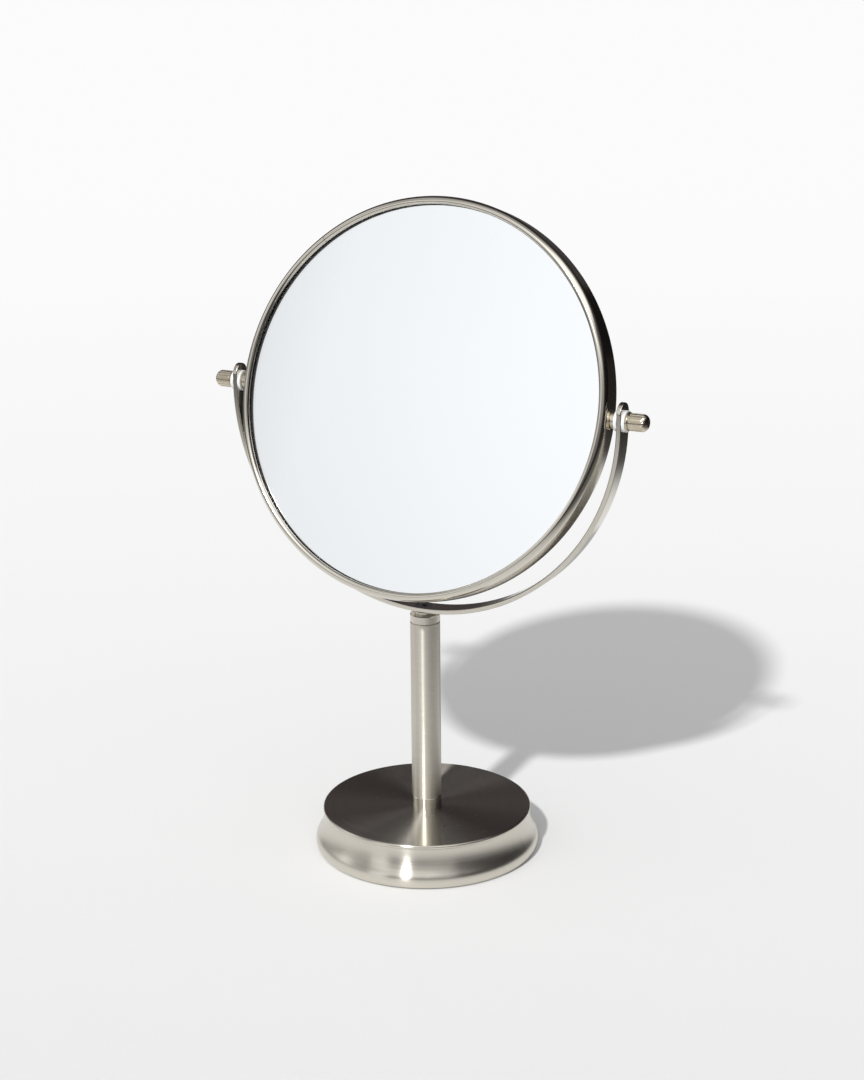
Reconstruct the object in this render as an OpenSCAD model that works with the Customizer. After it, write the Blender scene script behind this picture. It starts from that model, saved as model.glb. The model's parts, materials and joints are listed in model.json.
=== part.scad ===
// Free-standing table mirror: a round two-sided mirror that turns in a U-shaped yoke,
// on a stem and a weighted round base.
// Millimetres, +Z up, origin on the floor under the stem's axis.
// The flat mirror faces -Y, and the mirror turns about an axis along X.

/* [Base] */
// Height of the base, from the floor to its flat top
base_h = 22.2; // [20:0.1:30]
// Radius of the base's top edge
base_top_r = 54.1; // [53.5:0.1:56]
// Radius of the base at its waist
base_neck_r = 53.5; // [50:0.1:53.9]
// Height of the waist above the floor
base_neck_z = 20; // [16.5:0.1:20]
// Radius of the skirt at its widest
base_flare_r = 58.2; // [56:0.1:64]
// Height above the floor where the skirt is widest
base_flare_z = 4.2; // [3.6:0.1:6]
// Radius of the skirt's outward curve
base_belly_r = 6; // [4.3:0.1:7]
// Radius of the rounded top edge
base_edge_r = 1.2; // [0.9:0.1:1.6]
// Thickness of the shell's sheet metal
shell_t = 0.8; // [0.6:0.1:1]
// Height of the shell's lower edge above the floor
shell_lift = 0.6; // [0.4:0.1:1]

/* [Weight and pad] */
// Thickness of the soft pad under the base
pad_t = 1.2; // [1:0.1:2]
// How far the pad's edge stays inside the weight's edge
pad_inset = 1.0; // [0.5:0.1:4]
// Gap between the weight's edge and the shell's waist
weight_gap = 0.5; // [0.3:0.1:1]
// Depth of the clear space between the weight's rim and the shell's top
weight_relief = 3; // [1:0.5:6]
// Radius of the boss in the middle of the weight
weight_boss_r = 15; // [12:0.5:25]
// Chamfer along the weight's edges
weight_chamfer = 1; // [0.5:0.1:2]
// Depth of the recess for the bolt head
recess_depth = 7.6; // [7:0.1:9]
// Radius of the recess for the bolt head
recess_r = 8.5; // [7.5:0.1:12]

/* [Base bolt] */
// Diameter of the base bolt
bolt_d = 6; // [5:0.5:6]
// Width of the bolt head across its flats
bolt_head_af = 10; // [9:0.5:11]
// Height of the bolt head
bolt_head_h = 4; // [3:0.1:4.2]
// Length of the bolt that stands above the base's top
bolt_reach = 14; // [8:0.5:16]
// Outer diameter of the flat washer
flat_washer_d = 12.5; // [11:0.5:14]
// Thickness of the flat washer
flat_washer_t = 1.2; // [0.8:0.1:1.6]
// Outer diameter of the spring washer
spring_washer_d = 10.6; // [9.5:0.1:12]
// Thickness of the spring washer
spring_washer_t = 1.5; // [1:0.1:1.8]
// Width of the slit in the spring washer
spring_slit = 0.8; // [0.4:0.1:1.2]
// Clearance around a screw in the hole that it passes through
hole_gap = 0.25; // [0.1:0.05:0.5]
// Clearance between a plain screw shank and its plain threaded bore
thread_gap = 0.03; // [0.01:0.01:0.08]

/* [Stem] */
// Outer diameter of the stem
stem_d = 15.3; // [14:0.1:20]
// Wall of the stem tube
stem_wall = 1.0; // [0.8:0.1:1.5]
// Height from the base's top to the top of the upper collar
stem_h = 104.7; // [70:0.1:160]
// Height of the lower collar
lower_collar_h = 5; // [3:0.1:8]
// Height of the upper collar
upper_collar_h = 4.3; // [3:0.1:8]
// Depth that each adaptor reaches into the tube
spigot_len = 13; // [10:0.5:20]
// Clearance between the tube's bore and a spigot
spigot_gap = 0.03; // [0.01:0.01:0.08]
// Chamfer on each side of a seam between a collar and the tube
seam = 0.3; // [0.1:0.05:0.5]
// Height of the neck between the upper collar and the yoke
neck_h = 1.6; // [1:0.1:4]
// Radius of that neck
neck_r = 5.4; // [5:0.1:7]

/* [Yoke] */
// Width of the yoke's strip
strip_w = 10.4; // [10:0.1:14]
// Thickness of the yoke's strip
strip_t = 2.5; // [2.4:0.1:3.5]
// Radius along the strip's long edges
strip_edge = 0.5; // [0.3:0.05:0.8]
// How far the centre of the yoke's curve lies below the pivot axis
yoke_drop = 2.2; // [0.5:0.1:6]
// Height of the ears above the pivot axis
ear_reach = 9; // [6:0.1:12]

/* [Yoke screw] */
// Diameter of the yoke screw
yoke_screw_d = 5; // [4:0.5:5]
// Diameter of its countersunk head
yoke_screw_head_d = 8.6; // [8:0.1:8.8]
// Length of the yoke screw
yoke_screw_len = 14; // [10:0.5:16]
// Width of its hexagon socket across the flats
yoke_screw_socket_af = 3; // [2:0.5:3]
// Depth of its hexagon socket
yoke_screw_socket_depth = 1.5; // [1:0.1:1.8]

/* [Mirror rim] */
// Outer radius of the rim
rim_r = 100; // [90:0.5:110]
// Depth of the rim from its front bead to its rear bead
rim_depth = 16; // [15.5:0.1:18]
// Width of the rim as seen from the front
rim_face_w = 4.25; // [4.1:0.05:4.6]
// Radius of the bead on its outer side
bead_outer_r = 3.4; // [3.3:0.05:3.6]
// Radius of the bead on its inner side
bead_inner_r = 1.6; // [1.5:0.05:1.8]
// Thickness of the rim's sheet metal
rim_wall = 1.2; // [1:0.05:1.3]
// Depth of the front lip, from the bead's crest to the gasket
front_lip = 1.9; // [1.8:0.1:2.6]
// Depth of the rear lip, from the bead's crest to the gasket
rear_lip = 2.4; // [2.2:0.1:2.8]
// Place of the rim's butt joint, as an angle in the mirror's face
joint_angle = 130; // [100:1:165]
// Width of the butt joint
joint_w = 0.25; // [0.15:0.05:0.4]
// Angle by which the mirror leans back at rest
rest_tilt = 17; // [0:1:45]

/* [Glasses] */
// Thickness of the flat front glass
front_glass_t = 2; // [1.8:0.1:2.2]
// Thickness of the curved rear glass
rear_glass_t = 1.8; // [1.5:0.1:2]
// Depth of the hollow in the magnifying rear glass
dish_depth = 3.3; // [1.5:0.05:3.4]
// Gap between the glasses' edge and the rim's inner wall
glass_gap = 1.2; // [1.1:0.05:1.4]
// Thickness of each gasket
gasket_t = 0.4; // [0.3:0.05:0.6]
// Width of each gasket
gasket_w = 1.6; // [1.3:0.1:2]
// Thickness of the card behind the front glass
card_t = 1; // [0.8:0.1:1]
// Width of the foam ring between the card and the rear glass
foam_w = 6; // [4:0.5:12]
// Clearance between the foam ring and the curved glass
foam_gap = 0.02; // [0.01:0.01:0.2]
// How far the card and the foam ring stay inside the glasses' edge
foam_inset = 0.6; // [0.3:0.1:2]

/* [Pivot studs] */
// Diameter of the stud's flange on the rim
flange_d = 9.6; // [8.6:0.1:9.6]
// Thickness of the stud's flange
flange_t = 0.8; // [0.6:0.1:1.2]
// Diameter of the groove beside the flange
groove_d = 7; // [5.5:0.1:7.8]
// Width of that groove
groove_w = 0.5; // [0.3:0.1:0.8]
// Diameter of the spacer barrel
barrel_d = 8.2; // [7.9:0.1:9]
// Distance from the rim to the barrel's end
stud_len = 3.2; // [2.4:0.1:6]
// Diameter of the stud's threaded end
stud_thread_d = 4; // [3:0.5:4]
// Length of the threaded end that reaches into the nut
stud_in_nut = 7; // [5:0.5:7.5]
// Diameter of the tail that is riveted through the rim
tail_d = 5; // [4:0.5:5.5]
// Diameter of the riveted head inside the rim
rivet_d = 6.6; // [6:0.1:7]
// Thickness of the riveted head inside the rim
rivet_t = 0.7; // [0.5:0.05:0.8]

/* [Washers and nuts] */
// Diameter of the plastic washers
washer_d = 10.4; // [9.6:0.1:11]
// Thickness of the plastic washers
washer_t = 1.5; // [1:0.1:2.5]
// Diameter of the hole in each ear
ear_hole_d = 6; // [5.6:0.1:7]
// Axial play beside the washers
play = 0.05; // [0.02:0.01:0.1]
// Radial running clearance in the washers, the ears and the nuts
run_gap = 0.05; // [0.02:0.01:0.08]
// Diameter of the nut's flange
nut_flange_d = 9.2; // [8.7:0.1:10]
// Thickness of the nut's flange
nut_flange_t = 0.9; // [0.6:0.1:1.4]
// Diameter of the undercut behind the nut's flange
nut_neck_d = 7.4; // [6.5:0.1:8]
// Width of the undercut
nut_neck_w = 0.6; // [0.4:0.1:1]
// Diameter of the nut's knurled body
nut_d = 8.6; // [8.2:0.1:10]
// Length of the nut's knurled body with its rounded end
nut_body_len = 9; // [8.5:0.1:12]
// Radius of the nut's rounded end
nut_round = 3; // [2.5:0.1:3.5]
// Number of flutes around the nut
flute_count = 16; // [12:1:20]
// Radius of each flute
flute_r = 0.5; // [0.4:0.05:0.6]
// Depth of each flute
flute_depth = 0.35; // [0.2:0.05:0.4]

/* [Hidden] */
$fn = 96;
// Overlap that lets a cut pass right through a face
eps = 0.5;
// Number of rings that the curved glass's faces are made of
dish_steps = 24;
// Depth of a threaded bore beyond its screw's end
bore_room = 1;

// Base profile: a cove around the waist runs smoothly into the skirt's outward curve
belly_c = [base_flare_r - base_belly_r, base_flare_z];
cove_dz = base_neck_z - base_flare_z;
cove_u = base_neck_r - belly_c[0];
cove_r = (cove_u * cove_u + cove_dz * cove_dz - base_belly_r * base_belly_r) / (2 * (base_belly_r - cove_u));
cove_c = [base_neck_r + cove_r, base_neck_z];
cove_dir = (cove_c - belly_c) / norm(cove_c - belly_c);
// Heights and radii inside the base
shell_top_z = base_h - shell_t;
weight_r = base_neck_r - shell_t - weight_gap;
weight_top_z = shell_top_z - weight_relief;
recess_z = pad_t + recess_depth;
flat_washer_z = recess_z - flat_washer_t;
spring_washer_z = flat_washer_z - spring_washer_t;
bolt_head_z = spring_washer_z - bolt_head_h;
bolt_end_z = base_h + bolt_reach;

// Heights along the stem
stem_r = stem_d / 2;
spigot_r = stem_r - stem_wall - spigot_gap;
tube_bottom_z = base_h + lower_collar_h;
collar_top_z = base_h + stem_h;
tube_top_z = collar_top_z - upper_collar_h;

// Distances along the pivot axis, from the middle of the mirror outwards
stud_end_x = rim_r + stud_len;
inner_washer_x = stud_end_x + play;
// The strip's curve begins below the axis, so it comes inwards a little beside the washer's lower edge
ear_sag = pow(max(0, washer_d / 2 - yoke_drop), 2) / (2 * rim_r);
ear_in_x = inner_washer_x + washer_t + ear_sag;
ear_out_x = ear_in_x + strip_t;
nut_x = ear_out_x + washer_t + play;
nut_neck_x = nut_x + nut_flange_t;
nut_body_x = nut_neck_x + nut_neck_w;
nut_end_x = nut_body_x + nut_body_len;
stud_tip_x = nut_x + stud_in_nut;
nut_bore_x = stud_tip_x + 2 * play;

// Yoke
yoke_mid_r = ear_in_x + strip_t / 2;
yoke_c_z = collar_top_z + neck_h + ear_out_x;
pivot_h = yoke_c_z + yoke_drop;
yoke_in_z = yoke_c_z - ear_in_x;
ear_round_z = pivot_h + ear_reach - strip_w / 2;
screw_head_h = (yoke_screw_head_d - yoke_screw_d) / 2;
// The screw's flat head lies just under the strip's curved inner face
screw_top_z = yoke_in_z - (ear_in_x - sqrt(ear_in_x * ear_in_x - pow(yoke_screw_head_d / 2, 2)));

// Rim section: [radius, depth], with the outer and inner circles of the bead tangent to each other
rim_in_r = rim_r - rim_face_w;
bead_dir_r = (rim_in_r + bead_inner_r - rim_r + bead_outer_r) / (bead_outer_r - bead_inner_r);
bead_dir = [bead_dir_r, sqrt(1 - bead_dir_r * bead_dir_r)];
bead_in_c = [rim_in_r + bead_inner_r, rim_depth / 2 - bead_inner_r];
bead_out_c = bead_in_c - (bead_outer_r - bead_inner_r) * bead_dir;
wall_in_r = rim_r - rim_wall;

// Depths inside the rim, where minus is towards the front
front_lip_y = -rim_depth / 2 + front_lip;
rear_lip_y = rim_depth / 2 - rear_lip;
front_glass_y = front_lip_y + gasket_t;
card_y = front_glass_y + front_glass_t;
foam_y = card_y + card_t;
rear_glass_y = rear_lip_y - gasket_t;
glass_r = wall_in_r - glass_gap;
// Radius of the hollow face of the magnifying glass
magnifier_r = (glass_r * glass_r + dish_depth * dish_depth) / (2 * dish_depth);
// Place along the mirror's axis of the point that both faces of the curved glass turn around
dish_c_y = rear_glass_y + magnifier_r - dish_depth;
// Place of a curved face at one radius, t in front of the glass's hollow face
function dish_y(r, t) = dish_c_y - sqrt(pow(magnifier_r + t, 2) - r * r);

nickel = [0.74, 0.72, 0.67];
nickel_warm = [0.76, 0.71, 0.62];

// Helpers

// A ring or disc along +Z, standing on its lower face
module ring(r_out, r_in, h) {
    difference() {
        cylinder(r = r_out, h = h);
        translate([0, 0, -eps]) cylinder(r = r_in, h = h + 2 * eps);
    }
}

// A plain cylinder along X between two distances from the middle
module along_x(x0, x1, d) {
    translate([x0, 0, 0]) rotate([0, 90, 0]) cylinder(d = d, h = x1 - x0);
}

// A section of [radius, depth] turned around the mirror's own axis, which lies along Y
module around_y() {
    rotate([-90, 0, 0]) rotate_extrude() children();
}

// The mirror's place and lean at rest
module in_head() {
    translate([0, 0, pivot_h]) rotate([-rest_tilt, 0, 0]) children();
}

// The pivot axis's place on the stand
module at_pivot() {
    translate([0, 0, pivot_h]) children();
}

// A piece of the right-hand pivot, or its mirror image on the left
module on_side(left) {
    if (left) mirror([1, 0, 0]) children();
    else children();
}

// Half of the base's section up to a height, drawn in by t from the outside
module base_section(t, top) {
    join = belly_c + base_belly_r * cove_dir;
    difference() {
        union() {
            square([base_neck_r - t, top]);
            polygon([[0, 0], [belly_c[0], 0], join, [base_neck_r - t, base_neck_z]]);
            translate(belly_c) circle(r = base_belly_r - t);
        }
        intersection() {
            translate(cove_c) circle(r = cove_r + t);
            square([2 * base_flare_r, base_neck_z]);
        }
        translate([0, -2 * base_belly_r]) square([2 * base_flare_r, 2 * base_belly_r + shell_lift]);
    }
}

// The base's top plate with its rounded edge, which stands out over the waist
module top_section() {
    edge_x = base_top_r - base_edge_r;
    translate([0, base_h - 2 * base_edge_r]) square([edge_x, 2 * base_edge_r]);
    translate([edge_x, base_h - base_edge_r]) circle(r = base_edge_r);
}

module base_shell() {
    color(nickel) difference() {
        rotate_extrude() difference() {
            union() {
                base_section(0, base_h - base_edge_r);
                top_section();
            }
            base_section(shell_t, shell_top_z);
            translate([0, shell_lift - eps]) square([base_neck_r, base_flare_z]);
        }
        cylinder(d = bolt_d + 2 * hole_gap, h = base_h + eps);
    }
}

module base_weight() {
    color([0.22, 0.22, 0.23]) difference() {
        rotate_extrude() polygon([
            [0, pad_t], [weight_r - weight_chamfer, pad_t], [weight_r, pad_t + weight_chamfer],
            [weight_r, weight_top_z - weight_chamfer], [weight_r - weight_chamfer, weight_top_z],
            [weight_boss_r, weight_top_z], [weight_boss_r, shell_top_z], [0, shell_top_z]]);
        translate([0, 0, pad_t - eps]) cylinder(r = recess_r, h = recess_depth + eps);
        cylinder(d = bolt_d + 2 * hole_gap, h = base_h);
    }
}

module base_pad() {
    color([0.09, 0.09, 0.09]) cylinder(r = weight_r - pad_inset, h = pad_t);
}

module base_bolt() {
    color([0.6, 0.6, 0.62]) union() {
        translate([0, 0, bolt_head_z])
            cylinder(d = bolt_head_af / cos(30), h = bolt_head_h, $fn = 6);
        translate([0, 0, bolt_head_z]) cylinder(d = bolt_d, h = bolt_end_z - bolt_head_z);
    }
}

module base_spring_washer() {
    color([0.5, 0.5, 0.52]) translate([0, 0, spring_washer_z]) difference() {
        ring(spring_washer_d / 2, bolt_d / 2 + hole_gap, spring_washer_t);
        translate([0, -spring_slit / 2, -eps]) cube([spring_washer_d, spring_slit, spring_washer_t + 2 * eps]);
    }
}

module base_flat_washer() {
    color([0.6, 0.6, 0.62]) translate([0, 0, flat_washer_z])
        ring(flat_washer_d / 2, bolt_d / 2 + hole_gap, flat_washer_t);
}

module lower_adaptor() {
    color(nickel) difference() {
        rotate_extrude() polygon([
            [0, base_h], [stem_r, base_h], [stem_r, tube_bottom_z - seam],
            [stem_r - seam, tube_bottom_z], [spigot_r, tube_bottom_z],
            [spigot_r, tube_bottom_z + spigot_len - seam],
            [spigot_r - seam, tube_bottom_z + spigot_len], [0, tube_bottom_z + spigot_len]]);
        translate([0, 0, base_h - eps])
            cylinder(r = bolt_d / 2 + thread_gap, h = bolt_reach + eps + bore_room);
    }
}

module stem_tube() {
    color(nickel) difference() {
        rotate_extrude() polygon([
            [0, tube_bottom_z], [stem_r - seam, tube_bottom_z], [stem_r, tube_bottom_z + seam],
            [stem_r, tube_top_z - seam], [stem_r - seam, tube_top_z], [0, tube_top_z]]);
        translate([0, 0, tube_bottom_z - eps])
            cylinder(r = stem_r - stem_wall, h = tube_top_z - tube_bottom_z + 2 * eps);
    }
}

module upper_adaptor() {
    color(nickel) difference() {
        union() {
            rotate_extrude() polygon([
                [0, tube_top_z - spigot_len], [spigot_r - seam, tube_top_z - spigot_len],
                [spigot_r, tube_top_z - spigot_len + seam], [spigot_r, tube_top_z],
                [stem_r - seam, tube_top_z], [stem_r, tube_top_z + seam],
                [stem_r, collar_top_z - seam], [stem_r - seam, collar_top_z], [0, collar_top_z]]);
            translate([0, 0, collar_top_z - eps]) cylinder(r = neck_r, h = neck_h + 2 * eps);
        }
        // The neck is hollowed to the curve of the yoke that sits on it
        translate([0, 0, yoke_c_z]) rotate([90, 0, 0])
            cylinder(r = ear_out_x, h = 3 * stem_d, center = true, $fn = 360);
        translate([0, 0, screw_top_z - yoke_screw_len - bore_room])
            cylinder(r = yoke_screw_d / 2 + thread_gap, h = yoke_screw_len + bore_room);
    }
}

// The strip's cross-section, thickness along X and width along Y, with rounded edges
module strip_section() {
    square([strip_t - 2 * strip_edge, strip_w], center = true);
    square([strip_t, strip_w - 2 * strip_edge], center = true);
    for (sx = [-1, 1], sy = [-1, 1])
        translate([sx * (strip_t / 2 - strip_edge), sy * (strip_w / 2 - strip_edge)])
            circle(r = strip_edge);
}

// One straight leg of the yoke with its round-ended ear
module yoke_leg() {
    translate([yoke_mid_r, 0, yoke_c_z])
        linear_extrude(height = ear_round_z - yoke_c_z) strip_section();
    translate([yoke_mid_r, 0, ear_round_z]) rotate([90, 0, 90])
        rotate_extrude(angle = 180) intersection() {
            rotate(90) strip_section();
            translate([0, -strip_t]) square([strip_w, 2 * strip_t]);
        }
}

module yoke() {
    color(nickel) difference() {
        union() {
            translate([0, 0, yoke_c_z]) rotate([90, 0, 0]) rotate([0, 0, 180])
                rotate_extrude(angle = 180, $fn = 360) translate([yoke_mid_r, 0]) strip_section();
            yoke_leg();
            mirror([1, 0, 0]) yoke_leg();
        }
        for (side = [-1, 1])
            translate([side * yoke_mid_r, 0, pivot_h]) rotate([0, 90, 0])
                cylinder(d = ear_hole_d, h = 2 * strip_t, center = true);
        translate([0, 0, yoke_c_z - ear_out_x - eps])
            cylinder(r = yoke_screw_d / 2 + hole_gap, h = strip_t + 2 * eps);
        screw_cone(hole_gap, strip_t);
    }
}

// The countersunk head's cone, widened by a gap and continued upwards by a height
module screw_cone(gap, above) {
    rotate_extrude() polygon([
        [0, screw_top_z - screw_head_h], [yoke_screw_d / 2 + gap, screw_top_z - screw_head_h],
        [yoke_screw_head_d / 2 + gap, screw_top_z], [yoke_screw_head_d / 2 + gap, screw_top_z + above],
        [0, screw_top_z + above]]);
}

module yoke_screw() {
    color([0.66, 0.65, 0.63]) difference() {
        rotate_extrude() polygon([
            [0, screw_top_z - yoke_screw_len], [yoke_screw_d / 2, screw_top_z - yoke_screw_len],
            [yoke_screw_d / 2, screw_top_z - screw_head_h], [yoke_screw_head_d / 2, screw_top_z],
            [0, screw_top_z]]);
        translate([0, 0, screw_top_z - yoke_screw_socket_depth])
            cylinder(d = yoke_screw_socket_af / cos(30), h = yoke_screw_socket_depth + eps, $fn = 6);
    }
}

// The outer curve of the rear bead, from one radius outwards, drawn in by t
module bead_arc(from_r, t) {
    intersection() {
        translate(bead_out_c) circle(r = bead_outer_r - t);
        translate([from_r, 0]) square([2 * bead_outer_r, rim_depth]);
    }
}

// The rear half of the rim's outline: a flat outer wall that rolls over into the bead
module rim_half() {
    join_r = bead_out_c[0] + bead_outer_r * bead_dir[0];
    translate([rim_in_r, 0]) square([rim_face_w, bead_out_c[1]]);
    translate([rim_in_r, 0]) square([join_r - rim_in_r, bead_in_c[1]]);
    translate(bead_in_c) circle(r = bead_inner_r);
    bead_arc(join_r, 0);
}

// The rear half of the channel inside the rim
module channel_half() {
    translate([rim_in_r + rim_wall, 0]) square([rim_face_w - 2 * rim_wall, bead_out_c[1]]);
    bead_arc(rim_in_r + rim_wall, rim_wall);
}

module rim_section() {
    difference() {
        for (m = [0, 1]) mirror([0, m]) rim_half();
        for (m = [0, 1]) mirror([0, m]) channel_half();
        translate([rim_in_r - eps, front_lip_y]) square([rim_face_w / 2, rear_lip_y - front_lip_y]);
    }
}

module mirror_rim() {
    color(nickel) in_head() difference() {
        around_y($fn = 360) rim_section();
        for (side = [-1, 1])
            translate([side * rim_r, 0, 0]) rotate([0, 90, 0])
                cylinder(r = tail_d / 2 + hole_gap, h = 4 * rim_wall, center = true);
        rotate([0, -joint_angle, 0])
            translate([rim_in_r - eps, -rim_depth, -joint_w / 2])
                cube([rim_face_w + 2 * eps, 2 * rim_depth, joint_w]);
    }
}

// A flat seal of gasket_w between a glass and its lip, from one depth
module gasket(y0) {
    in_head() around_y($fn = 360) translate([rim_in_r, y0]) square([gasket_w, gasket_t]);
}

module front_gasket() {
    color([0.35, 0.35, 0.36]) gasket(front_lip_y);
}

module rear_gasket() {
    color([0.35, 0.35, 0.36]) gasket(rear_glass_y);
}

module front_glass() {
    color([0.9, 0.93, 0.95]) in_head() around_y($fn = 360)
        translate([0, front_glass_y]) square([glass_r, front_glass_t]);
}

module backing_card() {
    color([0.45, 0.36, 0.25]) in_head() around_y($fn = 360)
        translate([0, card_y]) square([glass_r - foam_inset, card_t]);
}

// The foam ring's rear side follows the curved glass
module spacer_ring() {
    foam_r = glass_r - foam_inset;
    color([0.16, 0.16, 0.17]) in_head() around_y($fn = 360) polygon([
        [foam_r - foam_w, foam_y], [foam_r, foam_y],
        [foam_r, dish_y(foam_r, rear_glass_t) - foam_gap],
        [foam_r - foam_w, dish_y(foam_r - foam_w, rear_glass_t) - foam_gap]]);
}

module rear_glass() {
    radii = [for (i = [0:dish_steps]) glass_r * i / dish_steps];
    color([0.86, 0.9, 0.93]) in_head() around_y($fn = 360) polygon(concat(
        [for (r = radii) [r, dish_y(r, 0)]],
        [for (i = [dish_steps:-1:0]) [radii[i], dish_y(radii[i], rear_glass_t)]]));
}

module pivot_stud(left) {
    color(nickel_warm) in_head() on_side(left) union() {
        intersection() {
            along_x(wall_in_r - rivet_t, rim_r, rivet_d);
            rotate([90, 0, 0]) cylinder(r = wall_in_r, h = 2 * rivet_d, center = true, $fn = 360);
        }
        along_x(wall_in_r - rivet_t, rim_r + flange_t, tail_d);
        difference() {
            along_x(rim_r - eps, rim_r + flange_t, flange_d);
            rotate([90, 0, 0]) cylinder(r = rim_r, h = 2 * flange_d, center = true, $fn = 360);
        }
        along_x(rim_r, stud_end_x, groove_d);
        along_x(rim_r + flange_t + groove_w, stud_end_x, barrel_d);
        along_x(rim_r, stud_tip_x, stud_thread_d);
    }
}

module inner_washer(left) {
    color([0.95, 0.95, 0.94]) at_pivot() on_side(left) difference() {
        along_x(inner_washer_x, inner_washer_x + washer_t, washer_d);
        along_x(stud_end_x, ear_in_x + eps, stud_thread_d + 2 * run_gap);
    }
}

module outer_washer(left) {
    color([0.95, 0.95, 0.94]) at_pivot() on_side(left) difference() {
        union() {
            along_x(ear_out_x, ear_out_x + washer_t, washer_d);
            along_x(ear_in_x + play, ear_out_x + washer_t, ear_hole_d - 2 * run_gap);
        }
        along_x(ear_in_x - eps, ear_out_x + washer_t + eps, stud_thread_d + 2 * run_gap);
    }
}

// The nut's outline turned around the pivot axis: flange, undercut, body and rounded end
module thumb_nut(left) {
    color(nickel_warm) in_head() on_side(left) difference() {
        union() {
            along_x(nut_x, nut_neck_x, nut_flange_d);
            along_x(nut_x, nut_body_x + eps, nut_neck_d);
            rotate([0, 90, 0]) rotate_extrude() {
                translate([0, nut_body_x]) square([nut_d / 2, nut_body_len - nut_round]);
                translate([0, nut_body_x]) square([nut_d / 2 - nut_round, nut_body_len]);
                intersection() {
                    translate([nut_d / 2 - nut_round, nut_end_x - nut_round]) circle(r = nut_round);
                    translate([0, nut_body_x]) square([nut_d, nut_body_len]);
                }
            }
        }
        along_x(nut_x - eps, nut_bore_x, stud_thread_d + 2 * run_gap);
        for (i = [0:flute_count - 1])
            rotate([i * 360 / flute_count, 0, 0])
                translate([0, 0, nut_d / 2 + flute_r - flute_depth])
                    along_x(nut_neck_x + nut_neck_w / 2, nut_end_x + eps, 2 * flute_r);
    }
}

base_pad();
base_weight();
base_bolt();
base_spring_washer();
base_flat_washer();
base_shell();
lower_adaptor();
stem_tube();
upper_adaptor();
yoke();
yoke_screw();
mirror_rim();
front_gasket();
front_glass();
backing_card();
spacer_ring();
rear_glass();
rear_gasket();
pivot_stud(true);  // pivot_stud_left
pivot_stud(false);  // pivot_stud_right
inner_washer(true);  // inner_washer_left
inner_washer(false);  // inner_washer_right
outer_washer(true);  // outer_washer_left
outer_washer(false);  // outer_washer_right
thumb_nut(true);  // thumb_nut_left
thumb_nut(false);  // thumb_nut_right
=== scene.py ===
"""Table mirror in brushed nickel: finishes, glasses, knurled nuts, studio and camera.

Everything is in metres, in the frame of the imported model: +Z is up, the flat mirror faces -Y.
"""
import json
import math

import bmesh
import bpy
from mathutils import Matrix, Vector


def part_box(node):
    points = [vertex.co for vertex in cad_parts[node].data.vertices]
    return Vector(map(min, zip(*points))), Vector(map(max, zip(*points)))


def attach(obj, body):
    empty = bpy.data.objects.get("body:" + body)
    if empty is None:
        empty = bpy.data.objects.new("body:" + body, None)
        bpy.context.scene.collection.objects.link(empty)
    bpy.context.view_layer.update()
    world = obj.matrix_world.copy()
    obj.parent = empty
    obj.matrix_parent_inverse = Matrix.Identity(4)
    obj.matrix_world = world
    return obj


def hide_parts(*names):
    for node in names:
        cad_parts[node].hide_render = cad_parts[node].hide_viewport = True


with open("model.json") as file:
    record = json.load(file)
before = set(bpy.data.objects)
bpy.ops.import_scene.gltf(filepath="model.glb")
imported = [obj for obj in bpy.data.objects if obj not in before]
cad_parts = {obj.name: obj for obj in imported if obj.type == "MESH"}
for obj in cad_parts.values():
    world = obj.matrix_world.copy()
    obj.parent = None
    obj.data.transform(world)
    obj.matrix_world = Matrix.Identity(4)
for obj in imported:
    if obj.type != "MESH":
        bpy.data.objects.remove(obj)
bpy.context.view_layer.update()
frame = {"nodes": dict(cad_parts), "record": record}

bl_info = {
    "name": "Table Mirror",
    "version": (1, 0, 0),
    "blender": (4, 5, 0),
    "location": "3D View > Sidebar > Mirror",
    "description": "Finishes, glasses, nuts and studio for a tilting table mirror",
    "category": "Object",
}

MM = 0.001
# Lengths below this count as none, and edges sharper than this stay sharp
CLOSE = 0.0001 * MM
SHARP = math.radians(35)
FRAME_W, FRAME_H = 864, 1080
JOINTS = {joint["name"]: joint for joint in frame["record"]["behaviour"]["joints"]}
PIVOT_Z = JOINTS["mirror_tilt"]["pos_m"][2]


def reach(node, axis):
    """Highest coordinate of a node along one axis, 0 to 2."""
    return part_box(node)[1][axis]


# Properties

def length(name, text, metres):
    """A length property in metres."""
    return bpy.props.FloatProperty(name=name, description=text, default=metres, unit="LENGTH",
                                   precision=5)


def angle(name, text, degrees):
    """An angle property, given in degrees."""
    return bpy.props.FloatProperty(name=name, description=text, default=math.radians(degrees),
                                   subtype="ANGLE")


def factor(name, text, value):
    """A plain number property."""
    return bpy.props.FloatProperty(name=name, description=text, default=value, precision=4)


def colour(name, text, value):
    """A linear colour property."""
    return bpy.props.FloatVectorProperty(name=name, description=text, default=value, size=3,
                                         subtype="COLOR", min=0.0, max=1.0)


def fade(name, text, start, end, strength):
    """A fade along a distance: where it starts and ends, in metres, and how strong it is."""
    return bpy.props.FloatVectorProperty(name=name, description=text + ": start, end, strength",
                                         default=(start, end, strength), size=3, precision=4)


def count(name, text, number):
    """A whole number property."""
    return bpy.props.IntProperty(name=name, description=text, default=number)


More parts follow.
